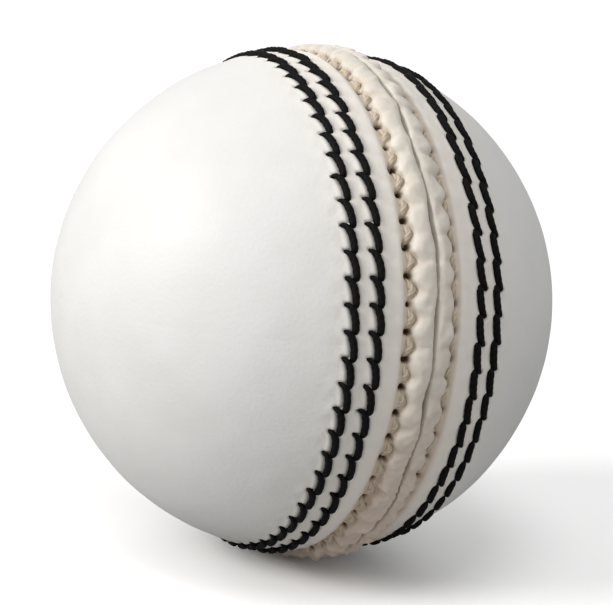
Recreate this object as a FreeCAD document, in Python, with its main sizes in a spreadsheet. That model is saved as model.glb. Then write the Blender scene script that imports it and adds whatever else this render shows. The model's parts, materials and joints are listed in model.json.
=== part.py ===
"""A hand-stitched four-piece cricket ball, in millimetres.

The ball is centred on the origin with +Z up. The main seam lies in the YZ plane, so the two leather
cups have their poles on -X (left) and +X (right). Each cup is two quarters of alum-tanned leather,
butt-stitched together from the inside: the left cup's joint lies in the XY plane and the right
cup's in the XZ plane. Inside the cups are two lining cups and the quilt: a cork-rubber nucleus
under five layers of cork sheet, each bound by a winding of worsted yarn.
"""
import FreeCAD, Part
import math
import os

import Sketcher
from FreeCAD import Placement, Rotation, Vector

DIMENSIONS = {
    # the whole ball and its layers
    "ball_radius": 36.0,
    "cover_thickness": 3.4,
    "lining_thickness": 0.8,
    "layer_gap": 0.04,
    "cork_thickness": 1.5,
    "winding_thickness": 2.0,
    "layer_count": 5,
    # cork sheets of one layer, like the segments of a peeled orange
    "sheets_per_layer": 6,
    "sheet_gap_angle": 2.0,
    "sheet_end_angle": 12.0,
    # the raised lips of the main seam and the furrow behind each lip
    "parting_gap": 0.1,
    "lip_edge_rise": 0.25,
    "lip_foot_drop": 0.2,
    "lip_arc_radius": 1.25,
    "furrow_half_width": 0.95,
    "furrow_slope": 0.6,
    "furrow_depth": 0.6,
    # rows of stitches, as distances from the seam plane
    "closing_row": 3.4,
    "inner_row": 7.4,
    "outer_row": 10.4,
    "left_stitches": 66,
    "right_stitches": 62,
    "closing_stitches": 64,
    # side stitching thread, its channels and its awl slits
    "thread_radius": 0.45,
    "thread_slant": 0.5,
    "thread_bend": 0.5,
    "thread_sink": 0.05,
    "channel_half_width": 1.05,
    "channel_depth": 0.56,
    "underside_channel_depth": 1.0,
    "slit_half_width": 0.5,
    "cutting_margin": 2.0,
    # closing thread, which crosses from cup to cup under the lips
    "closing_thread_radius": 0.35,
    "closing_bend": 0.42,
    "closing_hole_radius": 0.95,
    "closing_depth": 2.1,
    "closing_spread": 0.52,
    "closing_split": 0.54,
    # hidden butt stitches of the quarter joints
    "joint_thread_radius": 0.3,
    "joint_tunnel_radius": 0.34,
    "joint_thread_depth": 2.3,
    "joint_stitch_reach": 1.6,
    "joint_bend": 0.5,
    "joint_stitches": 26,
    "joint_end_angle": 25.0,
}

TAIL_SHARE = 0.3  # how much of its last run the closing thread's cut ends keep

doc = FreeCAD.newDocument("cricket_ball")
sheet = doc.addObject("Spreadsheet::Sheet", "dims")
for row, (alias, size) in enumerate(DIMENSIONS.items(), start=1):
    sheet.set(f"A{row}", alias)
    sheet.set(f"B{row}", str(size))
    sheet.setAlias(f"B{row}", alias)
doc.recompute()

nodes = []


def value(expression):
    """The number that an expression over the sheet's cells gives."""
    return float(sheet.evalExpression(expression))


def on_sphere(radius, offset):
    """Expression for a sphere's distance from the X axis at an offset along it."""
    return f"sqrt(({radius})^2 - ({offset})^2)"


def add_node(feature, name, placement=None):
    """Name a finished sub-part and put it in its place."""
    feature.Label = name
    if placement:
        feature.Placement = placement
    nodes.append(feature)


# ---------------------------------------------------------------- sketches


def origin_feature(body, role):
    return next(f for f in body.Origin.OriginFeatures if f.Role == role)


def new_sketch(body, name, plane):
    sketch = body.newObject("Sketcher::SketchObject", name)
    sketch.AttachmentSupport = [(origin_feature(body, plane), "")]
    sketch.MapMode = "FlatFace"
    return sketch


def bind(sketch, constraint, expression):
    """Add a dimension to a sketch and bind it to the sheet."""
    index = sketch.addConstraint(constraint)
    sketch.setExpression(f"Constraints[{index}]", expression)


def pin(sketch, edge, end, x, y):
    """Hold one end of an edge at x, y; a y of None keeps it on the X axis."""
    point = sketch.getPoint(edge, end)
    bind(sketch, Sketcher.Constraint("DistanceX", -1, 1, edge, end, point.x), x)
    if y is None:
        sketch.addConstraint(Sketcher.Constraint("PointOnObject", edge, end, -1))
    else:
        bind(sketch, Sketcher.Constraint("DistanceY", -1, 1, edge, end, point.y), y)


def arc_through(start, end, radius, turn):
    """Arc from start to end; turn is 1 for anticlockwise and -1 for clockwise."""
    chord = end - start
    rise = math.sqrt(radius**2 - (chord.Length / 2) ** 2)
    across = Vector(-chord.y, chord.x, 0).normalize()
    centre = (start + end) * 0.5 + across * rise * turn
    first, last = (start, end) if turn > 0 else (end, start)
    angles = [math.atan2(p.y - centre.y, p.x - centre.x) for p in (first, last)]
    return Part.ArcOfCircle(Part.Circle(centre, Vector(0, 0, 1), radius), *angles)


def draw_outline(sketch, start, steps):
    """Draw a closed outline. Each step is (x, y) for a line or (x, y, radius, turn) for an arc."""
    corners = [start] + [step[:2] for step in steps]
    points = [Vector(value(x), value(y) if y else 0, 0) for x, y in corners]
    ends = []
    for number, step in enumerate(steps):
        here, there = points[number], points[number + 1]
        if len(step) == 2:
            sketch.addGeometry(Part.LineSegment(here, there))
            ends.append((1, 2))
        else:
            radius, turn = step[2:]
            sketch.addGeometry(arc_through(here, there, value(radius), turn))
            ends.append((1, 2) if turn > 0 else (2, 1))
    for number, step in enumerate(steps):
        following = (number + 1) % len(steps)
        joint = (number, ends[number][1], following, ends[following][0])
        sketch.addConstraint(Sketcher.Constraint("Coincident", *joint))
        pin(sketch, number, ends[number][1], *corners[number + 1])
        if len(step) == 4:
            bind(sketch, Sketcher.Constraint("Radius", number, value(step[2])), step[2])


def revolve(body, sketch, angle):
    """Turn a sketch about the X axis, starting in the sketch's own plane."""
    solid = body.newObject("PartDesign::Revolution", "turned")
    solid.Profile = sketch
    solid.ReferenceAxis = (sketch, ["H_Axis"])
    solid.setExpression("Angle", angle)
    return solid


# ---------------------------------------------------------------- the quilt

LINING_OUTSIDE = "dims.ball_radius - dims.cover_thickness - dims.layer_gap"
LINING_INSIDE = f"{LINING_OUTSIDE} - dims.lining_thickness"
LAYER_STEP = "(dims.cork_thickness + dims.winding_thickness + 2 * dims.layer_gap)"
NUCLEUS_RADIUS = f"{LINING_INSIDE} - dims.layer_gap - dims.layer_count * {LAYER_STEP}"


def make_nucleus():
    nucleus = doc.addObject("Part::Sphere", "nucleus")
    nucleus.setExpression("Radius", NUCLEUS_RADIUS)
    add_node(nucleus, "cork_rubber_nucleus")


def make_cork_layer(number):
    """Separate curved sheets of cork laid round the ball side by side."""
    inside = f"{NUCLEUS_RADIUS} + {number - 1} * {LAYER_STEP} + dims.layer_gap"
    outside = f"{inside} + dims.cork_thickness"
    body = doc.addObject("PartDesign::Body", f"cork_body_{number}")
    body.AllowCompound = True
    sketch = new_sketch(body, f"cork_section_{number}", "XY_Plane")

    def corner(radius, way):
        end = "(90 deg - dims.sheet_end_angle * 1 deg)"
        return f"({radius}) * {way} * sin({end})", f"({radius}) * cos({end})"

    outline = [
        (*corner(outside, -1), outside, 1),
        corner(inside, -1),
        (*corner(inside, 1), inside, -1),
        corner(outside, 1),
    ]
    draw_outline(sketch, corner(outside, 1), outline)
    turned = revolve(body, sketch, "360 / dims.sheets_per_layer - dims.sheet_gap_angle")
    pattern = body.newObject("PartDesign::PolarPattern", f"cork_sheets_{number}")
    pattern.Originals = [turned]
    pattern.Axis = (sketch, ["H_Axis"])
    pattern.Angle = 360
    pattern.setExpression("Occurrences", "dims.sheets_per_layer")
    body.Tip = pattern
    tilt = Rotation(Vector(0, 1, 1), 37.0 * number)
    add_node(body, f"cork_layer_{number}", Placement(Vector(), tilt))


def make_winding(number):
    """One winding of worsted yarn, as the closed shell that it fills."""
    outside = doc.addObject("Part::Sphere", f"winding_outside_{number}")
    outside.setExpression("Radius", f"{NUCLEUS_RADIUS} + {number} * {LAYER_STEP}")
    inside = doc.addObject("Part::Sphere", f"winding_inside_{number}")
    inside.setExpression("Radius", f"{outside.Name}.Radius / 1 mm - dims.winding_thickness")
    shell = doc.addObject("Part::Cut", f"winding_{number}")
    shell.Base = outside
    shell.Tool = inside
    add_node(shell, f"yarn_winding_{number}")


def make_lining(name, turn):
    """A thin leather cup between the quilt and the cover."""
    edge = "dims.parting_gap"
    outside, inside = LINING_OUTSIDE, LINING_INSIDE
    body = doc.addObject("PartDesign::Body", f"{name}_body")
    sketch = new_sketch(body, f"{name}_section", "XY_Plane")
    outline = [
        (edge, on_sphere(outside, edge), outside, 1),
        (edge, on_sphere(inside, edge)),
        (inside, None, inside, -1),
        (outside, None),
    ]
    draw_outline(sketch, (outside, None), outline)
    body.Tip = revolve(body, sketch, "360")
    add_node(body, name, Placement(Vector(), turn))


# ---------------------------------------------------------------- the cover

COVER_OUTSIDE = "dims.ball_radius"
COVER_INSIDE = "dims.ball_radius - dims.cover_thickness"
FURROW_BOTTOM = f"{on_sphere(COVER_OUTSIDE, 'dims.closing_row')} - dims.furrow_depth"
CLOSING_THREAD_LEVEL = f"{FURROW_BOTTOM} + dims.closing_thread_radius + dims.thread_sink"


def channel(row, radius, depth, turn):
    """Outline steps along a sphere to a row of stitches and through its pressed channel."""
    edges = [f"dims.{row} + {turn} * {way} * dims.channel_half_width" for way in (1, -1)]
    levels = [on_sphere(radius, edge) for edge in edges]
    return [
        (edges[0], levels[0], radius, turn),
        (edges[0], f"{levels[0]} - {turn} * {depth}"),
        (edges[1], f"{levels[1]} - {turn} * {depth}"),
        (edges[1], levels[1]),
    ]


def cover_outline():
    """Section of one cup from the outside of its pole to the parting line and back inside."""
    furrow_edge = "dims.closing_row + dims.furrow_half_width + dims.furrow_slope"
    furrow_floor = [f"dims.closing_row {way} dims.furrow_half_width" for way in "+-"]
    return [
        *channel("outer_row", COVER_OUTSIDE, "dims.channel_depth", 1),
        *channel("inner_row", COVER_OUTSIDE, "dims.channel_depth", 1),
        (furrow_edge, on_sphere(COVER_OUTSIDE, furrow_edge), COVER_OUTSIDE, 1),
        (furrow_floor[0], FURROW_BOTTOM),
        (furrow_floor[1], FURROW_BOTTOM),
        (furrow_floor[1], "dims.ball_radius - dims.lip_foot_drop"),
        ("dims.parting_gap", "dims.ball_radius + dims.lip_edge_rise", "dims.lip_arc_radius", 1),
        ("dims.parting_gap", on_sphere(COVER_INSIDE, "dims.parting_gap")),
        *channel("inner_row", COVER_INSIDE, "dims.underside_channel_depth", -1),
        *channel("outer_row", COVER_INSIDE, "dims.underside_channel_depth", -1),
        (COVER_INSIDE, None, COVER_INSIDE, -1),
        (COVER_OUTSIDE, None),
    ]


def hole_row(body, sketch, stitches, depth):
    """Cut a sketch inwards through the leather and repeat it at every stitch of half a turn."""
    pocket = body.newObject("PartDesign::Pocket", f"{sketch.Name}_cut")
    pocket.Profile = sketch
    pocket.setExpression("Length", depth)
    pattern = body.newObject("PartDesign::PolarPattern", f"{sketch.Name}_row")
    pattern.Originals = [pocket]
    pattern.Axis = (origin_feature(body, "X_Axis"), [""])
    pattern.Reversed = True
    pattern.setExpression("Angle", f"180 - 360 / dims.{stitches}")
    pattern.setExpression("Occurrences", f"dims.{stitches} / 2")
    body.Tip = pattern


def slit_row(body, row, stitches):
    """Awl slits of a side row, each wide enough for both needles' passes."""
    sketch = new_sketch(body, f"{body.Name}_{row}", "XZ_Plane")
    first = Rotation(Vector(1, 0, 0), -180 / value(f"dims.{stitches}"))
    above_leather = Vector(0, 0, value("dims.ball_radius + dims.cutting_margin"))
    sketch.AttachmentOffset = Placement(first.multVec(above_leather), first)
    near = f"dims.{row} - dims.channel_half_width"
    far = f"dims.{row} + dims.channel_half_width"
    below, above = "-dims.slit_half_width", "dims.slit_half_width"
    outline = [(far, below), (far, above), (near, above), (near, below)]
    draw_outline(sketch, (near, below), outline)
    hole_row(body, sketch, stitches, "dims.cover_thickness + 3 * dims.cutting_margin")


def closing_hole_row(body):
    """Round awl holes that slope from the furrow to the parting face, under the lip."""
    sketch = new_sketch(body, f"{body.Name}_closing", "XZ_Plane")
    depth = value("dims.ball_radius - dims.closing_depth")
    run, rise = value("dims.closing_row"), value(CLOSING_THREAD_LEVEL) - depth
    along = Vector(run, 0, rise).normalize()
    first = Rotation(Vector(1, 0, 0), -180 / value("dims.closing_stitches"))
    slope = Rotation(Vector(0, 1, 0), math.degrees(math.atan2(run, rise)))
    start = Vector(0, 0, depth) + along * (2 * run)
    sketch.AttachmentOffset = Placement(first.multVec(start), first * slope)
    radius = "dims.closing_hole_radius"
    sketch.addGeometry(Part.Circle(Vector(), Vector(0, 0, 1), value(radius)))
    sketch.addConstraint(Sketcher.Constraint("Coincident", 0, 3, -1, 1))
    bind(sketch, Sketcher.Constraint("Radius", 0, value(radius)), radius)
    hole_row(body, sketch, "closing_stitches", "2 * dims.closing_row + dims.cutting_margin")


def make_quarter(name, tunnel, stitches, turn):
    """A quarter of the cover, turned from the XY plane and pierced for its rows and its joint."""
    body = doc.addObject("PartDesign::Body", f"{name}_body")
    sketch = new_sketch(body, f"{name}_section", "XY_Plane")
    draw_outline(sketch, (COVER_OUTSIDE, None), cover_outline())
    revolve(body, sketch, "180")
    slit_row(body, "outer_row", stitches)
    slit_row(body, "inner_row", stitches)
    closing_hole_row(body)
    quarter = doc.addObject("Part::Cut", name)
    quarter.Base = body
    quarter.Tool = tunnel
    add_node(quarter, name, Placement(Vector(), turn))


# ---------------------------------------------------------------- threads


def around(offset, radius, angle):
    """Point at an offset along the X axis, a distance from it and an angle from +Y, in degrees."""
    turn = math.radians(angle)
    return Vector(offset, radius * math.cos(turn), radius * math.sin(turn))


def rounded_path(corners, bend):
    """Wire of straight runs whose corners are tangent arcs of one radius."""
    edges = []
    here = corners[0]
    for before, corner, after in zip(corners, corners[1:], corners[2:]):
        back, ahead = (before - corner).normalize(), (after - corner).normalize()
        half_turn = (math.pi - back.getAngle(ahead)) / 2
        leave, join = (corner + way * bend * math.tan(half_turn) for way in (back, ahead))
        inward = (back + ahead).normalize()
        middle = corner + inward * bend * (1 / math.cos(half_turn) - 1)
        edges.append(Part.LineSegment(here, leave).toShape())
        edges.append(Part.Arc(leave, middle, join).toShape())
        here = join
    edges.append(Part.LineSegment(here, corners[-1]).toShape())
    return Part.Wire(edges)


def make_thread(name, corners, radius, bend):
    """Round thread swept along a path with rounded corners."""
    path = doc.addObject("Part::Feature", f"{name}_path")
    path.Shape = rounded_path(corners, value(bend))
    section = doc.addObject("Part::Circle", f"{name}_section")
    section.setExpression("Radius", radius)
    along = corners[1] - corners[0]
    section.Placement = Placement(corners[0], Rotation(Vector(0, 0, 1), along))
    thread = doc.addObject("Part::Sweep", name)
    thread.Sections = [section]
    thread.Spine = (path, [f"Edge{n + 1}" for n in range(len(path.Shape.Edges))])
    thread.Solid = True
    return thread


def side_thread_corners(row, stitches, first):
    """Running stitch through every awl slit of a row, over the leather and back under it."""
    offset, slant = value(f"dims.{row}"), value("dims.thread_slant")
    levels = []
    for way in (-1, 1):
        shifted = f"(dims.{row} + {way} * dims.thread_slant)"
        over = f"{on_sphere(COVER_OUTSIDE, shifted)} - dims.thread_sink"
        under = f"{on_sphere(COVER_INSIDE, shifted)} + dims.thread_bend"
        levels.append((value(over), value(under)))
    (over_near, under_near), (over_far, under_far) = levels
    pitch = 360 / stitches
    corners = []
    for slit in range(first, stitches + first, 2):
        start, end = (slit + 0.5) * pitch, (slit + 1.5) * pitch
        corners += [
            around(offset - slant, under_near, start),
            around(offset - slant, over_near, start),
            around(offset + slant, over_far, end),
            around(offset + slant, under_far, end),
        ]
    return corners


def make_side_threads(cup, row, stitches, turn):
    """The two needles' threads of one side row: a saddle stitch that covers every pitch."""
    count = int(value(f"dims.{stitches}"))
    name = f"{cup}_{row}_thread"
    threads = [
        make_thread(
            f"{name}_{first}",
            side_thread_corners(row, count, first),
            "dims.thread_radius",
            "dims.thread_bend",
        )
        for first in (0, 1)
    ]
    pair = doc.addObject("Part::Compound", f"{name}_pair")
    pair.Links = threads
    add_node(pair, name, Placement(Vector(), turn))


def closing_thread_corners(first):
    """Path that lies in one furrow for a pitch, then crosses under both lips to the other."""
    stitches = int(value("dims.closing_stitches"))
    offset, level = value("dims.closing_row"), value(CLOSING_THREAD_LEVEL)
    pitch = 360 / stitches
    spread = math.degrees(value("dims.closing_spread") / level)
    split = value("dims.closing_split") * (1 - 2 * first)
    depth = value("dims.ball_radius - dims.closing_depth") + split
    corners = []
    for stitch in range(stitches):
        side = 1 if (stitch + first) % 2 == 0 else -1
        start, end = (stitch + 0.5) * pitch, (stitch + 1.5) * pitch
        corners += [
            around(side * offset, level, start + spread),
            around(side * offset, level, end - spread),
            around(0, depth, end),
        ]
    crossing = corners.pop()
    tails = [crossing + (end - crossing) * TAIL_SHARE for end in (corners[0], corners[-1])]
    return [tails[0], *corners, tails[1]]


def make_closing_thread():
    """Both needles of the thread that draws the two cups together."""
    threads = [
        make_thread(
            f"closing_thread_{first}",
            closing_thread_corners(first),
            "dims.closing_thread_radius",
            "dims.closing_bend",
        )
        for first in (0, 1)
    ]
    pair = doc.addObject("Part::Compound", "closing_thread_pair")
    pair.Links = threads
    add_node(pair, "closing_thread")


def joint_thread_corners():
    """Zigzag inside the leather, to and fro across the joint of two quarters."""
    stitches = int(value("dims.joint_stitches"))
    radius = value("dims.ball_radius - dims.joint_thread_depth")
    reach = value("dims.joint_stitch_reach")
    first = value("dims.joint_end_angle")
    pitch = (180 - 2 * first) / (stitches - 1)
    corners = []
    for stitch in range(stitches):
        angle = math.radians(first + stitch * pitch)
        side = 1 if stitch % 2 == 0 else -1
        corners.append(Vector(radius * math.sin(angle), radius * math.cos(angle), side * reach))
    return corners


# ---------------------------------------------------------------- assembly

LEFT_CUP = Rotation(Vector(0, 0, 1), 180)
RIGHT_CUP = Rotation(Vector(1, 0, 0), 90)
OTHER_QUARTER = Rotation(Vector(1, 0, 0), 180)
CUPS = {
    "left": (LEFT_CUP, ("upper", "lower")),
    "right": (RIGHT_CUP, ("front", "back")),
}

make_nucleus()
for layer in range(1, DIMENSIONS["layer_count"] + 1):
    make_cork_layer(layer)
    make_winding(layer)

for cup, (turn, quarters) in CUPS.items():
    stitches = f"{cup}_stitches"
    make_lining(f"lining_{cup}", turn)
    path = joint_thread_corners()
    tunnel = make_thread(f"{cup}_tunnel", path, "dims.joint_tunnel_radius", "dims.joint_bend")
    for quarter, flip in zip(quarters, (Rotation(), OTHER_QUARTER)):
        make_quarter(f"cover_{cup}_{quarter}", tunnel, stitches, turn * flip)
    joint = make_thread(f"{cup}_joint", path, "dims.joint_thread_radius", "dims.joint_bend")
    add_node(joint, f"{cup}_quarter_seam_thread", Placement(Vector(), turn))
    for row in ("inner_row", "outer_row"):
        make_side_threads(cup, row, stitches, turn)
make_closing_thread()
doc.recompute()

failed = [item.Label for item in doc.Objects if {"Invalid", "Error"} & set(item.State)]
failed += [node.Label for node in nodes if node.Shape.isNull() or not node.Shape.isValid()]
if failed:
    raise RuntimeError(f"these objects failed: {failed}")

os.makedirs("parts", exist_ok=True)
for node in nodes:
    node.Shape.exportStep(f"parts/{node.Label}.step")
    solids, volume = len(node.Shape.Solids), node.Shape.Volume
    print(f"{node.Label}: {solids} solid(s), {volume:.1f} mm3")
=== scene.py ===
"""Looks of the cricket ball: puckered leather, twisted stitching threads and their materials.

Lengths are in millimetres until a mesh is made, when they become metres. A place on the ball is
given as an arc from the parting line along a meridian (negative on the left cup), an angle round
the seam from +Y towards +Z, and a height above the leather's base sphere.
"""

import json
import math

import bmesh
import bpy
import numpy as np
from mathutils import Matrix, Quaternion, Vector


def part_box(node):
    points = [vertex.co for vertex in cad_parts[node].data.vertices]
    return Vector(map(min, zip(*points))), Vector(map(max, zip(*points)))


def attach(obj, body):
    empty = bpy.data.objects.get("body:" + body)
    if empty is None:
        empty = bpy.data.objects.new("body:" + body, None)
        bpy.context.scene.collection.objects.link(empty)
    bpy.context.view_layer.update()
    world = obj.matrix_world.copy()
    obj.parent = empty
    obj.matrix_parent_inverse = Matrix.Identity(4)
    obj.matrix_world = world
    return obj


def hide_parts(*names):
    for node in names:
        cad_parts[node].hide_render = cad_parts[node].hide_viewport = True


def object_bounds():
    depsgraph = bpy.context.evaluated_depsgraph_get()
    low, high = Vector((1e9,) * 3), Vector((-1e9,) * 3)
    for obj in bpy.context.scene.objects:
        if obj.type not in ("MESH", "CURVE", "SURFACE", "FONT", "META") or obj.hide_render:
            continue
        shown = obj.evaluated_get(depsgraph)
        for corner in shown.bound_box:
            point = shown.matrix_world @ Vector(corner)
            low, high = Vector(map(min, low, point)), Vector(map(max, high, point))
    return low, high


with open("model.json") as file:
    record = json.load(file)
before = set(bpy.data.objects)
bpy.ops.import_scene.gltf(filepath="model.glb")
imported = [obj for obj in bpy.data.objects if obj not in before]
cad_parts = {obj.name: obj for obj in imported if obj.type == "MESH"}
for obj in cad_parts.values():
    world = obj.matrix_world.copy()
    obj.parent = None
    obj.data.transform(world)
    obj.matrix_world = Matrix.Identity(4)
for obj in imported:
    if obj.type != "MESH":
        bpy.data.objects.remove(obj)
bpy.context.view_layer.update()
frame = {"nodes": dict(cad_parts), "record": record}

MM = 0.001
SEED = 20

BALL_RADIUS = -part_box("cover_left_upper")[0].x / MM
COVER_THICKNESS = 3.4
SIDES = {"left": -1, "right": 1}
# the angle at which each quarter of the cover starts
QUARTERS = {
    ("left", "upper"): 0.0,
    ("left", "lower"): math.pi,
    ("right", "front"): math.pi / 2,
    ("right", "back"): -math.pi / 2,
}

# rows of stitches, as in the CAD model: distance from the seam plane, count and rounded pitch
CLOSING_ROW = 3.4
CLOSING_STITCHES = 64
CLOSING_PITCH = 3.5
SIDE_ROWS = {"inner_row": 7.4, "outer_row": 10.4}
SIDE_STITCHES = {"left": 66, "right": 62}
SIDE_PITCH = 3.4

# lips of the main seam, the line where they part, and the furrow behind each of them
LIP_HEIGHT = 0.95
LIP_WIDTH = 2.75
LIP_SCALLOP = 0.33
LIP_CREASE = 0.30
UNDERSIDE_CRUMPLE = 2.6
PARTING_DEPTH = 0.55
PARTING_WAVE = 0.16
PARTING_GAP = 0.05
FURROW_DEPTH = 0.35
HOLE_DEPTH = 1.3
HOLE_SIZE = 0.42
CLOSING_BED = 0.16

# marks in the leather beside the lips
CHANNEL_RIM = 0.07
SLIT_DEPTH = 0.5
PUCKER = 0.035
STRIP_CREASE = 0.05
JOINT_HAIRLINE = 0.012

# layers of unevenness, each with the size of its waves, its height and its seed's number
BALL_RIPPLES = ((19, 0.035, 65), (5, 0.010, 66))
SEAM_RIPPLES = ((2.4, 0.016, 67),)
LIP_RIPPLES = ((3.4, 0.044, 63), (1.4, 0.020, 64), (0.8, 0.008, 69))
FOOT_RIPPLES = ((2.6, 0.06, 62),)
PINCH_RIPPLES = ((7, 0.4, 68),)
PARTING_RIPPLES = ((21, 0.7, 60), (6, 0.45, 61))

# stage: the floor and the backdrop look brighter to the camera than they light the ball
FLOOR_RADIUS = 0.30
BACKDROP = 1.05
SURROUNDINGS = 0.474
LIGHT_DISTANCE = 0.8
LIGHT_SIZE = 0.35


# ------------------------------------------------------------------ small maths


def smooth_step(low, high, values):
    """0 up to low and 1 from high on, with a smooth rise between; low may be the larger."""
    share = np.clip((values - low) / (high - low), 0, 1)
    return share * share * (3 - 2 * share)


def hump(values, width):
    """Bell curve, 1 at zero."""
    return np.exp(-((values / width) ** 2))


class Ripple:
    """Smooth random field, from seeded waves about as long as the given size."""

    def __init__(self, size, seed, waves=28):
        rng = np.random.default_rng(seed)
        directions = rng.normal(size=(waves, 3))
        directions /= np.linalg.norm(directions, axis=1)[:, None]
        self.waves = directions * (2 * math.pi / size) * rng.uniform(0.6, 1.5, waves)[:, None]
        self.phases = rng.uniform(0, 2 * math.pi, waves)

    def __call__(self, points):
        total = np.zeros(points.shape[:-1])
        for wave, phase in zip(self.waves, self.phases):
            total += np.sin(points @ wave + phase)
        return total / math.sqrt(len(self.phases) / 2)


def ripples(points, layers):
    """Sum of some layers of unevenness."""
    return sum(height * Ripple(size, SEED + number)(points) for size, height, number in layers)


def place(arc, angle, height):
    """Points of the ball from arcs, angles and heights."""
    tilt = np.asarray(arc) / BALL_RADIUS
    radius = BALL_RADIUS + np.asarray(height)
    level = radius * np.cos(tilt)
    return np.stack(
        np.broadcast_arrays(radius * np.sin(tilt), level * np.cos(angle), level * np.sin(angle)),
        axis=-1,
    )


def row_arc(offset):
    """Arc from the parting line to a row that lies at an offset from the seam plane."""
    return BALL_RADIUS * math.asin(offset / BALL_RADIUS)


def spline(controls, steps, closed=True):
    """Smooth line through control rows, a given number of points to each span."""
    controls = np.asarray(controls, float)
    count = len(controls)
    spans = count if closed else count - 1
    shares = np.arange(steps)[:, None] / steps
    pieces = []
    for span in range(spans):
        index = np.arange(span - 1, span + 3)
        index = index % count if closed else np.clip(index, 0, count - 1)
        before, start, end, after = controls[index]
        rise = (end - before) / 2
        fall = (after - start) / 2
        pieces.append(
            start
            + rise * shares
            + (3 * (end - start) - 2 * rise - fall) * shares**2
            + (2 * (start - end) + rise + fall) * shares**3
        )
    if not closed:
        pieces.append(controls[-1:])
    return np.concatenate(pieces)


# ------------------------------------------------------------------ where the stitches lie


def cup_angle(side, angle):
    """Angle round one cup, counted from its quarter joint in the direction it was sewn."""
    return math.pi - angle if side == "left" else angle - math.pi / 2


def ball_angle(side, angle):
    """Angle round the seam of an angle round one cup."""
    return math.pi - angle if side == "left" else angle + math.pi / 2


def stitch_places(angles, count):
    """Number of the stitch at each angle, and the share of its pitch from its first hole."""
    steps = np.asarray(angles) / (2 * math.pi / count) - 0.5
    whole = np.floor(steps)
    return whole.astype(int) % count, steps - whole


# One black stitch from the hole where it rises, away from the seam, to the hole where it dives:
# sideways place, distance along the row, height of its centre, and thread radius.
STITCH_VISIBLE = [
    (1.05, -0.12, -0.95, 0.24),
    (0.88, 0.02, -0.16, 0.26),
    (0.54, 0.20, 0.05, 0.34),
    (0.22, 0.56, 0.12, 0.42),
    (-0.02, 1.12, 0.16, 0.46),
    (-0.18, 1.85, 0.18, 0.46),
    (-0.26, 2.55, 0.17, 0.46),
    (-0.28, 3.18, 0.11, 0.45),
    (-0.24, 3.62, -0.26, 0.40),
    (-0.10, 3.78, -1.15, 0.31),
]
# the rest of its way, under the leather to the next hole but one
STITCH_HIDDEN = [
    (0.00, 3.88, -2.30, 0.30),
    (0.20, 4.60, -2.90, 0.30),
    (0.70, 5.90, -2.90, 0.30),
    (1.05, 6.62, -2.20, 0.26),
]
STITCH_LINE = spline(STITCH_VISIBLE, 6, closed=False)

# One cream stitch in the furrow, from hole to hole, bowed towards the lip:
# arc from the parting line, share of the pitch, height of its centre, and thread radius.
CLOSING_VISIBLE = [
    (3.44, 0.13, -1.60, 0.24),
    (3.42, 0.21, -0.76, 0.28),
    (3.22, 0.35, -0.48, 0.37),
    (2.98, 0.50, -0.36, 0.43),
    (3.22, 0.65, -0.48, 0.37),
    (3.42, 0.79, -0.76, 0.28),
    (3.44, 0.87, -1.60, 0.24),
]
# its way to the other furrow: arc and height above the deepest point, which each needle has at
# its own depth
CLOSING_CROSSING = [(1.7, 0.2), (0, 0), (-1.7, 0.2)]
CROSSING_DEPTHS = (-1.85, -2.95)
CROSSING_RADIUS = 0.3


def stitch_jitter(side, row, count):
    """Each stitch's own small shift sideways, along the row and in height."""
    seed = SEED + 10 * list(SIDES).index(side) + list(SIDE_ROWS).index(row)
    return np.random.default_rng(seed).normal(0, (0.05, 0.06, 0.025), (count, 3))


def closing_jitter(side):
    """Four random numbers for each closing stitch and the stretch of lip beside it."""
    seed = SEED + 50 + list(SIDES).index(side)
    return np.random.default_rng(seed).normal(0, 1, (CLOSING_STITCHES, 4))


def closing_neighbours(angle):
    """Numbers of the stitches before, at and after each angle, and its share from their holes."""
    number, share = stitch_places(angle, CLOSING_STITCHES)
    numbers = np.array([number - 1, number, number + 1]) % CLOSING_STITCHES
    return zip(numbers, (share + 1, share, share - 1))


# ------------------------------------------------------------------ the leather's relief


def parting_shift(angle):
    """Sideways wander of the line where the two lips meet."""
    return PARTING_WAVE * ripples(place(0, angle, 0), PARTING_RIPPLES)


def underside(points):
    """0 above the ball's middle, rising to 1 low on its underside."""
    return smooth_step(2, -26, points[..., 2])


def roughness_at(points):
    """How much more crumpled the lips are towards the underside of the ball."""
    return 1 + UNDERSIDE_CRUMPLE * underside(points)


def side_row_relief(side, row, arc, angle):
    """Channel, slits and puckers of one row of black stitches, and its staining and painted shade.
    """
    count = SIDE_STITCHES[side]
    number, share = stitch_places(cup_angle(side, angle), count)
    jitter = stitch_jitter(side, row, count)[number]
    along = (1 - share) * SIDE_PITCH - jitter[..., 1]
    aside = arc - row_arc(SIDE_ROWS[row]) - jitter[..., 0]
    centre, lift, radius = (
        np.interp(along, STITCH_LINE[:, 1], STITCH_LINE[:, column]) for column in (0, 2, 3)
    )
    off = (aside - centre) / radius
    bed = (lift + jitter[..., 2] - 0.8 * radius) * np.exp(-(np.abs(off) ** 3.2) / 1.35)
    rim = CHANNEL_RIM * hump(np.abs(off) - 1.85, 0.55)
    from_hole = (share - np.round(share)) * SIDE_PITCH
    slit = hump(from_hole, 0.24) * smooth_step(0.05, 0.35, aside) * smooth_step(1.35, 0.95, aside)
    pucker = PUCKER * np.cos(2 * math.pi * share) * hump(np.abs(aside) - 1.5, 0.7)
    # black-wax staining, with painted shade in the thread's channel and beside its holes
    stain_and_shade = np.exp(-(np.abs(off) ** 3) / 4.5) + hump(from_hole, 0.3) * hump(aside - 0.8, 0.5)
    return bed + rim - SLIT_DEPTH * slit + pucker, np.clip(stain_and_shade, 0, 1)


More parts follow.
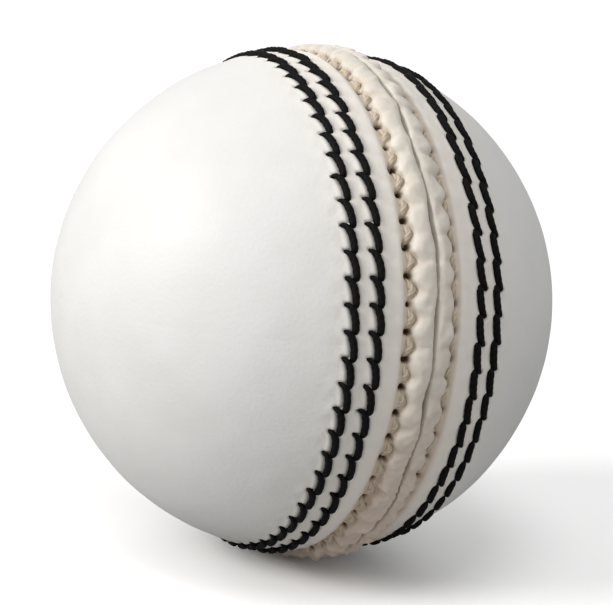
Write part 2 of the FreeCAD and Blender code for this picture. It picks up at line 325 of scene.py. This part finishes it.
def lip_foot(side, angle):
    """Arc to a lip's foot, which stands out at the holes and draws in at the stitches' middles."""
    number, share = stitch_places(angle, CLOSING_STITCHES)
    lean = 0.3 * closing_jitter(side)[number, 0] * np.sin(math.pi * share)
    points = place(SIDES[side] * LIP_WIDTH, angle, 0)
    uneven = roughness_at(points) * ripples(points, FOOT_RIPPLES)
    return LIP_WIDTH + LIP_SCALLOP * (np.cos(2 * math.pi * share) + lean) + uneven


def lip_creases(side, angle, across):
    """Creases between a lip's pillows, narrow and faint at its crown and deepest at its foot."""
    own = closing_jitter(side)
    creases = np.zeros_like(across)
    for near, share in closing_neighbours(angle):
        middle = share - 0.5 - 0.09 * own[near, 1] - 0.09 * (1 - across) * own[near, 2]
        depth = np.clip(0.8 + 0.28 * own[near, 3], 0.2, 1.5)
        creases += depth * hump(middle * CLOSING_PITCH, 0.24 + 0.3 * across)
    return creases * (0.12 + 0.88 * smooth_step(0.15, 0.95, across))


def awl_holes(side, arc, angle):
    """1 at the middle of each hole of the closing row, falling to 0 round it."""
    own = closing_jitter(side)
    holes = np.zeros_like(arc)
    for near, share in closing_neighbours(angle):
        along = (share - 0.03 * own[near, 2]) * CLOSING_PITCH
        aside = arc - row_arc(CLOSING_ROW) - 0.05 * own[near, 3]
        size = HOLE_SIZE + 0.07 * own[near, 1]
        holes = np.maximum(holes, hump(np.hypot(along * 0.8, aside), size))
    return holes


def lip_relief(side, arc, angle, points):
    """Height of one lip with its furrow, pillows, creases and awl holes, and their masks."""
    foot = lip_foot(side, angle)
    across = np.clip(arc / foot, 0, 1)
    crown = (1 - across**4.0) ** 0.55
    pinch = np.clip(1 + ripples(points, PINCH_RIPPLES), 0.45, 1.6)
    lip = (LIP_HEIGHT + FURROW_DEPTH) * crown - FURROW_DEPTH
    lip -= 0.24 * pinch * hump(arc, 0.5)
    lip -= (LIP_HEIGHT + PARTING_DEPTH) * smooth_step(0.24, 0, arc / pinch)
    on_lip = smooth_step(0.02, 0.25, crown)
    creases = lip_creases(side, angle, across)
    lumps = roughness_at(points) * ripples(points, LIP_RIPPLES)
    lip += on_lip * (lumps - LIP_CREASE * creases)

    furrow = -FURROW_DEPTH * smooth_step(4.7, 3.7, arc)
    height = np.where(arc < foot, lip, furrow)
    holes = awl_holes(side, arc, angle)
    height -= HOLE_DEPTH * holes * smooth_step(0.0, 1.2, arc)
    _, share = stitch_places(angle, CLOSING_STITCHES)
    bed = hump(arc - 3.05, 0.75) * (0.5 - 0.5 * np.cos(2 * math.pi * share))
    height -= CLOSING_BED * bed * smooth_step(foot - 0.35, foot + 0.15, arc)
    # masks for colour: the creases, furrow and slot get painted shade, the holes staining and
    # painted shade
    return height, {
        "lip": on_lip * (arc < foot),
        "pit_shade_and_stain": holes,
        "crease_shade": creases * on_lip,
        "furrow": smooth_step(4.4, 3.9, arc) * (arc >= foot - 0.15),
        "slot": smooth_step(0.2, 0.04, arc / pinch) * (0.4 + 0.5 * pinch),
    }


def leather_relief(side, arc, angle):
    """Height of a cup's leather above its base sphere, and masks for its colour."""
    points = place(SIDES[side] * arc, angle, 0)
    height = ripples(points, BALL_RIPPLES)
    height += smooth_step(16.0, 11.0, arc) * ripples(points, SEAM_RIPPLES)
    lip, masks = lip_relief(side, arc, angle, points)
    height += lip
    masks["stain_and_shade"] = np.zeros_like(arc)
    for row in SIDE_ROWS:
        relief, stain_and_shade = side_row_relief(side, row, arc, angle)
        height += relief
        masks["stain_and_shade"] = np.maximum(masks["stain_and_shade"], stain_and_shade)
    masks["band"] = smooth_step(19.0, 5.0, arc)
    # painted shade: browner lips and furrows low on the underside
    masks["underside_shade"] = underside(points) * smooth_step(5.2, 3.8, arc)
    # faint creases that run across the strip between the lips and the first black row
    _, share = stitch_places(angle, CLOSING_STITCHES)
    strip = smooth_step(3.9, 4.6, arc) * smooth_step(6.6, 5.4, arc)
    height -= STRIP_CREASE * strip * hump((share - 0.5) * CLOSING_PITCH, 0.5)
    return height, masks


# ------------------------------------------------------------------ meshes


def new_object(name, mesh, material, slot, *nodes):
    """A piece of the ball that stands for some CAD nodes."""
    mesh.materials.append(material)
    piece = bpy.data.objects.new(name, mesh)
    bpy.context.scene.collection.objects.link(piece)
    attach(piece, "root")
    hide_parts(*nodes)


def mesh_of(name, points, faces, masks, sharp_angle=None):
    """Closed smooth mesh with its masks as attributes; sharp_angle keeps its cut edges crisp."""
    mesh = bpy.data.meshes.new(name)
    mesh.from_pydata((points * MM).tolist(), [], faces)
    for mask, values in masks.items():
        layer = mesh.attributes.new(mask, "FLOAT", "POINT")
        layer.data.foreach_set("value", np.asarray(values, np.float32))
    shell = bmesh.new()
    shell.from_mesh(mesh)
    rim = [edge for edge in shell.edges if edge.is_boundary]
    if rim:
        bmesh.ops.triangle_fill(shell, edges=rim, use_beauty=True, use_dissolve=False)
    bmesh.ops.recalc_face_normals(shell, faces=shell.faces)
    for face in shell.faces:
        face.smooth = True
    if sharp_angle:
        for edge in shell.edges:
            edge.smooth = edge.calc_face_angle(0) < sharp_angle
    shell.to_mesh(mesh)
    shell.free()
    return mesh


def join_rows(first, second):
    """Faces between two rows of points whose spans are equal in number or one to two."""
    if len(first) == len(second):
        return [
            (first[n], first[n + 1], second[n + 1], second[n]) for n in range(len(first) - 1)
        ]
    if len(first) == 1:
        return [(first[0], second[n + 1], second[n]) for n in range(len(second) - 1)]
    if len(first) > len(second):
        return [face[::-1] for face in join_rows(second, first)]
    faces = []
    for n in range(len(first) - 1):
        left, middle, right = second[2 * n : 2 * n + 3]
        faces += [
            (first[n], middle, left),
            (first[n], first[n + 1], middle),
            (first[n + 1], right, middle),
        ]
    return faces


# spans of a quarter's rows, at their finest by the seam and at their coarsest by the pole
FINE_SPANS = 448
COARSE_SPANS = 28
MASKS = ("lip", "pit_shade_and_stain", "crease_shade", "furrow", "slot", "stain_and_shade", "band", "underside_shade")


def outer_rows():
    """Arcs of the outer surface from the pole to the parting line, each with its spans."""
    bands = [
        (56.0, 48.0, 1.0, 16),
        (48.0, 38.0, 1.0, 8),
        (38.0, 24.0, 0.8, 4),
        (24.0, 13.2, 0.6, 2),
        (13.2, 4.6, 0.2, 1),
        (4.6, 3.2, 0.14, 1),
        (3.2, 2.2, 0.08, 1),
        (2.2, 0.75, 0.14, 1),
        (0.75, 0.0, 0.075, 1),
    ]
    rows = []
    for start, end, step, coarseness in bands:
        count = round((start - end) / step)
        arcs = (start - (start - end) * n / count for n in range(count))
        rows += [(arc, FINE_SPANS // coarseness) for arc in arcs]
    return rows + [(0.0, FINE_SPANS)]


def make_quarter(side, quarter, start_angle, material):
    """A quarter of the cover, with its worked outer face, its cut edges and its plain inside."""
    points, faces, rows = [], [], []
    masks = {name: [] for name in MASKS}

    def add_row(row, row_masks=None):
        rows.append(list(range(len(points), len(points) + len(row))))
        points.extend(row)
        for name, values in masks.items():
            values.extend(row_masks[name] if row_masks else np.zeros(len(row)))

    def angles_of(spans):
        return start_angle + np.linspace(0, math.pi, spans + 1)

    sign = SIDES[side]
    pole = np.array([sign * math.pi / 2 * BALL_RADIUS])
    add_row(place(pole, np.zeros(1), 0))
    for arc, spans in outer_rows():
        angles = angles_of(spans)
        # the rows near the lip's foot follow it, so that its edge is clean
        near_foot = smooth_step(0, LIP_WIDTH, arc) * smooth_step(4.6, LIP_WIDTH, arc)
        arcs = arc + near_foot * (lip_foot(side, angles) - LIP_WIDTH)
        height, row_masks = leather_relief(side, arcs, angles)
        # the joint between quarters is pressed almost flat, and leaves a hairline
        ends = np.minimum(angles - angles[0], angles[-1] - angles) * BALL_RADIUS
        height -= JOINT_HAIRLINE * hump(ends, 0.2) * smooth_step(4.0, 6.0, arc)
        shift = parting_shift(angles) * smooth_step(3.2, 0.4, arcs)
        add_row(place(sign * arcs + shift + sign * PARTING_GAP / 2, angles, height), row_masks)
    spans, depth = FINE_SPANS, PARTING_DEPTH
    while spans > COARSE_SPANS:
        spans //= 2
        depth += 0.6
        angles = angles_of(spans)
        shift = parting_shift(angles) + sign * PARTING_GAP / 2
        add_row(place(shift, angles, -depth))
    for arc in np.linspace(0.4, 52.0, 24):
        add_row(place(np.full(spans + 1, sign * arc), angles_of(spans), -COVER_THICKNESS))
    add_row(place(pole, np.zeros(1), -COVER_THICKNESS))
    for first, second in zip(rows, rows[1:]):
        faces += join_rows(first, second)
    name = f"leather_{side}_{quarter}"
    mesh = mesh_of(name, np.array(points), faces, masks, math.radians(50))
    new_object(name, mesh, material, "white_leather", f"cover_{side}_{quarter}")


def carried_frames(line):
    """Two cross directions at each point of a closed line, which don't twist along it."""
    tangents = np.roll(line, -1, axis=0) - np.roll(line, 1, axis=0)
    tangents /= np.linalg.norm(tangents, axis=1)[:, None]
    across = np.cross(tangents[0], (1.0, 0.0, 0.0))
    across /= np.linalg.norm(across)
    carried = [across]
    for tangent in tangents[1:]:
        across = across - tangent * (across @ tangent)
        across /= np.linalg.norm(across)
        carried.append(across)
    carried = np.array(carried)
    last = carried[-1] - tangents[0] * (carried[-1] @ tangents[0])
    gap = math.atan2(np.cross(carried[0], last) @ tangents[0], carried[0] @ last)
    back = -gap * np.arange(len(line)) / len(line)
    other = np.cross(tangents, carried)
    turned = carried * np.cos(back)[:, None] + other * np.sin(back)[:, None]
    return turned, np.cross(tangents, turned)


# how each thread is laid up: plies, points round each ply, length of a turn, height of its ridges
WAXED_LAY = {"plies": 3, "ply_sides": 5, "pitch": 0.9, "ridge": 0.06}
LINEN_LAY = {"plies": 4, "ply_sides": 5, "pitch": 0.8, "ridge": 0.10}


def twisted_tube(line, radii, lay, first_index):
    """Tube along a closed line, with the ridges of a twisted thread."""
    sides = lay["plies"] * lay["ply_sides"]
    across, other = carried_frames(line)
    length = np.linalg.norm(np.roll(line, -1, axis=0) - line, axis=1)
    turns = round(length.sum() / lay["pitch"])
    travel = np.concatenate([[0], np.cumsum(length)[:-1]]) / length.sum()
    around = np.arange(sides) * 2 * math.pi / sides
    ridge = np.cos(lay["plies"] * around[None, :] - 2 * math.pi * turns * travel[:, None])
    reach = radii[:, None] * (1 + lay["ridge"] * ridge)
    points = (
        line[:, None]
        + across[:, None] * (np.cos(around) * reach)[..., None]
        + other[:, None] * (np.sin(around) * reach)[..., None]
    )
    rings = len(line)
    faces = []
    for ring in range(rings):
        here = first_index + ring * sides
        there = first_index + (ring + 1) % rings * sides
        for n in range(sides):
            after = (n + 1) % sides
            faces.append((here + n, here + after, there + after, there + n))
    # the share up each ridge, which the thread's material uses to paint shade between the plies
    return points.reshape(-1, 3), faces, 0.5 + 0.5 * ridge.reshape(-1)


def make_thread(name, lines, lay, material, slot, node):
    """One object for the closed lines of both needles."""
    points, faces, ridges = [], [], []
    for line in lines:
        first_index = sum(len(part) for part in points)
        tube, tube_faces, ridge = twisted_tube(line[:, :3], line[:, 3], lay, first_index)
        points.append(tube)
        faces += tube_faces
        ridges.append(ridge)
    mesh = mesh_of(name, np.concatenate(points), faces, {"ridge": np.concatenate(ridges)})
    new_object(name, mesh, material, slot, node)


def side_thread_line(side, row, needle):
    """Closed line of one needle's thread round a side row, which makes every other stitch."""
    count = SIDE_STITCHES[side]
    jitter = stitch_jitter(side, row, count)
    controls = []
    for number in range(count - 1 - needle, -1, -2):
        for stretch, shift in ((STITCH_VISIBLE, jitter[number]), (STITCH_HIDDEN, np.zeros(3))):
            for aside, along, height, radius in stretch:
                steps = number + 1.5 - (along - shift[1]) / SIDE_PITCH
                angle = ball_angle(side, steps * 2 * math.pi / count)
                arc = SIDES[side] * (row_arc(SIDE_ROWS[row]) + aside + shift[0])
                controls.append((*place(arc, angle, height + shift[2]), radius))
    return spline(controls, 3)


def closing_thread_line(needle):
    """Closed line that lies in one furrow for a pitch, then crosses to the other."""
    pitch = 2 * math.pi / CLOSING_STITCHES
    jitters = {sign: closing_jitter(side) for side, sign in SIDES.items()}
    controls = []
    for number in range(CLOSING_STITCHES):
        sign = 1 if (number + needle) % 2 == 0 else -1
        own = jitters[sign][number]
        for arc, share, height, radius in CLOSING_VISIBLE:
            bow = math.sin(math.pi * share)
            arc, height = arc + 0.05 * own[0] * bow, height + 0.04 * own[1] * bow
            angle = (number + share + 0.5) * pitch
            controls.append((*place(sign * arc, angle, height), radius * (1 + 0.04 * own[2])))
        angle = (number + 1.5) * pitch
        for arc, rise in CLOSING_CROSSING:
            height = CROSSING_DEPTHS[needle] + rise
            controls.append((*place(sign * arc, angle, height), CROSSING_RADIUS))
    return spline(controls, 3)


# ------------------------------------------------------------------ materials


class Nodes:
    """A material's node tree, with short ways to add and join nodes."""

    def __init__(self, name):
        self.material = bpy.data.materials.new(name)
        self.material.use_nodes = True
        self.tree = self.material.node_tree
        self.shader = self.tree.nodes["Principled BSDF"]

    def add(self, kind, settings=None, **inputs):
        """New node; an input is a socket or a value, and i2 is the input with index 2."""
        node = self.tree.nodes.new(f"ShaderNode{kind}")
        for key, setting in (settings or {}).items():
            setattr(node, key, setting)
        for key, source in inputs.items():
            socket = node.inputs[int(key[1:]) if key[1:].isdigit() else key.replace("_", " ")]
            if isinstance(source, bpy.types.NodeSocket):
                self.tree.links.new(source, socket)
            else:
                socket.default_value = source
        return node

    def attribute(self, name, share=1.0):
        """A mask of the mesh, times a share."""
        mask = self.add("Attribute", {"attribute_name": name}).outputs["Fac"]
        return mask if share == 1.0 else self.maths("MULTIPLY", mask, share)

    def place(self):
        return self.add("TexCoord").outputs["Object"]

    def noise(self, scale, detail=3.0, roughness=0.5):
        node = self.add(
            "TexNoise", Vector=self.place(), Scale=scale, Detail=detail, Roughness=roughness
        )
        return node.outputs["Fac"]

    def cells(self, scale):
        node = self.add("TexVoronoi", {"feature": "F1"}, Vector=self.place(), Scale=scale)
        return node.outputs["Distance"]

    def ramp(self, source, low, high):
        node = self.add("MapRange", {"clamp": True}, Value=source, From_Min=low, From_Max=high)
        return node.outputs["Result"]

    def maths(self, operation, first, second):
        return self.add("Math", {"operation": operation}, i0=first, i1=second).outputs[0]

    def mix(self, factor, first, second):
        settings = {"data_type": "RGBA", "blend_type": "MIX"}
        return self.add("Mix", settings, i0=factor, i6=first, i7=second).outputs[2]

    def bump(self, height, strength, distance, normal=None):
        inputs = {"Height": height, "Strength": strength, "Distance": distance * MM}
        if normal:
            inputs["Normal"] = normal
        return self.add("Bump", **inputs).outputs["Normal"]

    def finish(self, colour, roughness, normal, **constants):
        """Join the shader's inputs; constants are set on its own sockets."""
        links = self.tree.links
        links.new(colour, self.shader.inputs["Base Color"])
        links.new(normal, self.shader.inputs["Normal"])
        if isinstance(roughness, bpy.types.NodeSocket):
            links.new(roughness, self.shader.inputs["Roughness"])
        else:
            self.shader.inputs["Roughness"].default_value = roughness
        for key, constant in constants.items():
            self.shader.inputs[key.replace("_", " ")].default_value = constant
        return self.material


def white_leather():
    """White leather, creamy by the seam, with blotched lips, stained holes and painted shade."""
    nodes = Nodes("white_leather")
    # painted shade darkens the creases, furrows, parting slot, stitch channels and holes, and
    # browns the lips low underneath
    clouds = nodes.ramp(nodes.noise(120, 4.0), 0.35, 0.65)
    colour = nodes.mix(clouds, (0.79, 0.785, 0.77, 1), (0.82, 0.815, 0.805, 1))
    colour = nodes.mix(nodes.attribute("band", 0.85), colour, (0.91, 0.855, 0.775, 1))
    blotches = nodes.ramp(nodes.noise(420), 0.3, 0.7)
    lip_tone = nodes.mix(blotches, (0.69, 0.63, 0.545, 1), (0.80, 0.75, 0.67, 1))
    colour = nodes.mix(nodes.attribute("lip", 0.9), colour, lip_tone)
    # painted shade in the creases between the lip's pillows
    colour = nodes.mix(nodes.attribute("crease_shade", 0.35), colour, (0.46, 0.38, 0.29, 1))
    # painted shade in the furrow behind each lip
    colour = nodes.mix(nodes.attribute("furrow", 0.75), colour, (0.66, 0.56, 0.45, 1))
    # painted shade that browns the lips and furrows low on the underside
    colour = nodes.mix(nodes.attribute("underside_shade", 0.4), colour, (0.62, 0.41, 0.30, 1))
    # awl holes painted dark brown: partly staining, partly painted shade in their depth
    pit_shade_and_stain = nodes.ramp(nodes.attribute("pit_shade_and_stain"), 0.2, 0.6)
    colour = nodes.mix(pit_shade_and_stain, colour, (0.085, 0.042, 0.02, 1))
    # painted shade in the slot along the parting line
    colour = nodes.mix(nodes.attribute("slot", 0.45), colour, (0.20, 0.17, 0.17, 1))
    # staining by the black stitches, with painted shade in their channels and holes
    colour = nodes.mix(nodes.attribute("stain_and_shade", 0.25), colour, (0.10, 0.095, 0.09, 1))
    pores = nodes.ramp(nodes.cells(1700.0), 0.0, 0.7)
    normal = nodes.bump(nodes.noise(2600), 0.25, 0.06)
    normal = nodes.bump(pores, 0.16, 0.08, normal)
    roughness = nodes.add("MapRange", Value=nodes.noise(300), To_Min=0.50, To_Max=0.62)
    return nodes.finish(
        colour, roughness.outputs["Result"], normal, Coat_Weight=0.10, Coat_Roughness=0.42
    )


def thread_material(name, dark, light, specular, sheen):
    """Twisted thread, with painted shade darkening it between its plies."""
    nodes = Nodes(name)
    fibres = nodes.noise(5200, 3.0, 0.7)
    # painted shade in the grooves between plies, from the ridge mask, with random fibre tone
    colour = nodes.mix(nodes.maths("MULTIPLY", nodes.attribute("ridge"), fibres), dark, light)
    normal = nodes.bump(fibres, 0.5, 0.06)
    constants = {"Specular_IOR_Level": specular, "Sheen_Weight": sheen, "Sheen_Roughness": 0.4}
    return nodes.finish(colour, 0.7, normal, **constants)


def yarn_material():
    """Worsted yarn laid round the ball in crossing turns."""
    nodes = Nodes("worsted_yarn")
    turns = []
    for tilt in ((0.3, 0.5, 0.1), (1.4, -0.4, 0.9), (-0.7, 1.1, 2.0)):
        turned = nodes.add("Mapping", Vector=nodes.place(), Rotation=tilt).outputs[0]
        wave = nodes.add("TexWave", Vector=turned, Scale=330.0, Distortion=1.5, Detail=2.0)
        turns.append(wave.outputs["Fac"])
    yarn = nodes.mix(nodes.ramp(nodes.noise(90, 2.0), 0.47, 0.53), turns[0], turns[1])
    yarn = nodes.mix(nodes.ramp(nodes.noise(140, 2.0), 0.46, 0.52), yarn, turns[2])
    colour = nodes.mix(yarn, (0.38, 0.33, 0.26, 1), (0.72, 0.67, 0.57, 1))
    return nodes.finish(colour, 0.9, nodes.bump(yarn, 0.9, 0.4), Sheen_Weight=0.4)


def cork_material(name, pale, dark, fleck, roughness):
    """Cork with its cells and flecks."""
    nodes = Nodes(name)
    cells = nodes.cells(620.0)
    tone = nodes.mix(nodes.ramp(cells, 0.1, 0.8), pale, dark)
    flecks = nodes.ramp(nodes.noise(900, 4.0, 0.7), 0.60, 0.68)
    colour = nodes.mix(flecks, tone, fleck)
    normal = nodes.bump(flecks, 0.4, -0.2, nodes.bump(cells, 0.5, 0.3))
    return nodes.finish(colour, roughness, normal)


def lining_material():
    """Rough inner leather."""
    nodes = Nodes("lining_leather")
    fibres = nodes.noise(1500, 5.0, 0.75)
    colour = nodes.mix(fibres, (0.42, 0.31, 0.20, 1), (0.66, 0.54, 0.39, 1))
    return nodes.finish(colour, 0.85, nodes.bump(fibres, 0.6, 0.15), Sheen_Weight=0.3)


def floor_material():
    """Pale floor that the camera sees brighter than it lights the ball, and that ends in white."""
    nodes = Nodes("pale_floor")
    patches = nodes.noise(6)
    dim = nodes.mix(patches, (0.44, 0.44, 0.44, 1), (0.46, 0.46, 0.46, 1))
    bright = nodes.mix(patches, (1.31, 1.31, 1.31, 1), (1.33, 1.33, 1.33, 1))
    seen = nodes.add("LightPath").outputs["Is Camera Ray"]
    normal = nodes.bump(nodes.noise(900, 2.0), 0.05, 0.05)
    surface = nodes.add("BsdfDiffuse", Color=nodes.mix(seen, dim, bright), Normal=normal)
    glow = nodes.add("Emission", Color=(1, 1, 1, 1), Strength=BACKDROP)
    reach = nodes.add("VectorMath", {"operation": "LENGTH"}, i0=nodes.place()).outputs["Value"]
    fade = nodes.ramp(reach, 2.2 * BALL_RADIUS * MM, 0.9 * FLOOR_RADIUS)
    blend = nodes.maths("MULTIPLY", fade, seen)
    ending = nodes.add("MixShader", i0=blend, i1=surface.outputs[0], i2=glow.outputs[0])
    nodes.tree.links.new(ending.outputs[0], nodes.tree.nodes["Material Output"].inputs[0])
    return nodes.material


# ------------------------------------------------------------------ the ball

leather = white_leather()
black = thread_material(
    "black_thread",
    dark=(0.002, 0.002, 0.002, 1),
    light=(0.008, 0.008, 0.009, 1),
    specular=0.13,
    sheen=0.0,
)
cream = thread_material(
    "cream_thread",
    dark=(0.50, 0.41, 0.30, 1),
    light=(0.82, 0.74, 0.60, 1),
    specular=0.5,
    sheen=0.1,
)
# finishes of the CAD nodes that stay
FINISHES = {
    "cream_thread": cream,
    "lining_leather": lining_material(),
    "worsted_yarn": yarn_material(),
    "cork": cork_material(
        "cork",
        pale=(0.62, 0.42, 0.25, 1),
        dark=(0.45, 0.28, 0.15, 1),
        fleck=(0.16, 0.08, 0.04, 1),
        roughness=0.85,
    ),
    "cork_rubber": cork_material(
        "cork_rubber",
        pale=(0.40, 0.25, 0.15, 1),
        dark=(0.10, 0.07, 0.05, 1),
        fleck=(0.05, 0.04, 0.03, 1),
        roughness=0.6,
    ),
}

for (side, quarter), start_angle in QUARTERS.items():
    make_quarter(side, quarter, start_angle, leather)
for side in SIDES:
    for row in SIDE_ROWS:
        lines = [side_thread_line(side, row, needle) for needle in (0, 1)]
        node = f"{side}_{row}_thread"
        make_thread(f"stitching_{side}_{row}", lines, WAXED_LAY, black, "black_thread", node)
lines = [closing_thread_line(needle) for needle in (0, 1)]
make_thread("closing_stitches", lines, LINEN_LAY, cream, "cream_thread", "closing_thread")

for entry in frame["record"]["subparts"]:
    if entry["material_slot"] in FINISHES:
        materials = frame["nodes"][entry["node"]].data.materials
        materials.clear()
        materials.append(FINISHES[entry["material_slot"]])

visual_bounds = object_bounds()


# ------------------------------------------------------------------ stage, lights and camera


def make_floor(level):
    """Pale disc that the ball stands on."""
    mesh = bpy.data.meshes.new("floor")
    grid = bmesh.new()
    bmesh.ops.create_circle(grid, cap_ends=True, segments=96, radius=FLOOR_RADIUS)
    grid.to_mesh(mesh)
    grid.free()
    mesh.materials.append(floor_material())
    floor = bpy.data.objects.new("floor", mesh)
    floor.location.z = level
    bpy.context.scene.collection.objects.link(floor)


def make_world():
    """Even white light from all round, and a brighter backdrop for the camera."""
    world = bpy.data.worlds.new("studio")
    world.use_nodes = True
    tree = world.node_tree
    light = tree.nodes["Background"]
    backdrop = tree.nodes.new("ShaderNodeBackground")
    for background, strength in ((light, SURROUNDINGS), (backdrop, BACKDROP)):
        background.inputs["Color"].default_value = (1, 1, 1, 1)
        background.inputs["Strength"].default_value = strength
    path = tree.nodes.new("ShaderNodeLightPath")
    choose = tree.nodes.new("ShaderNodeMixShader")
    tree.links.new(path.outputs["Is Camera Ray"], choose.inputs[0])
    tree.links.new(light.outputs[0], choose.inputs[1])
    tree.links.new(backdrop.outputs[0], choose.inputs[2])
    tree.links.new(choose.outputs[0], tree.nodes["World Output"].inputs[0])
    bpy.context.scene.world = world


def aim_at_ball(thing, roll=0.0):
    """Turn a light or camera towards the origin."""
    turn = (-thing.location).to_track_quat("-Z", "Y") @ Quaternion((0, 0, 1), roll)
    thing.rotation_euler = turn.to_euler()


def make_light(name, azimuth, elevation, power, colour):
    """Round soft light, at an angle from +X towards +Y and one above level."""
    light = bpy.data.lights.new(name, "AREA")
    light.shape = "DISK"
    light.size = LIGHT_SIZE
    light.energy = power
    light.color = colour
    lamp = bpy.data.objects.new(name, light)
    turn, rise = math.radians(azimuth), math.radians(elevation)
    towards = (math.cos(rise) * math.cos(turn), math.cos(rise) * math.sin(turn), math.sin(rise))
    lamp.location = LIGHT_DISTANCE * Vector(towards)
    bpy.context.scene.collection.objects.link(lamp)
    aim_at_ball(lamp)


def make_camera(azimuth, elevation, roll, radii_away):
    """Camera that looks along an azimuth from +X towards +Y and down by an elevation."""
    data = bpy.data.cameras.new("camera")
    data.lens = 81.2
    data.sensor_width = 36.0
    data.clip_start = 0.01
    data.shift_x = 0.00848
    data.shift_y = -0.00326
    camera = bpy.data.objects.new("camera", data)
    turn, rise = math.radians(azimuth), math.radians(elevation)
    back = (-math.cos(rise) * math.cos(turn), -math.cos(rise) * math.sin(turn), math.sin(rise))
    camera.location = radii_away * BALL_RADIUS * MM * Vector(back)
    bpy.context.scene.collection.objects.link(camera)
    aim_at_ball(camera, math.radians(roll))
    bpy.context.scene.camera = camera


make_floor(visual_bounds[0][2])
make_camera(azimuth=62.7, elevation=8.0, roll=4.5, radii_away=5.6)
make_world()
make_light("key", azimuth=180, elevation=25, power=4.23, colour=(1.0, 0.99, 0.97))
make_light("top", azimuth=240, elevation=65, power=1.18, colour=(1.0, 1.0, 1.0))
make_light("back", azimuth=60, elevation=30, power=0.5, colour=(1.0, 1.0, 1.0))
bpy.context.scene.view_settings.view_transform = "Standard"
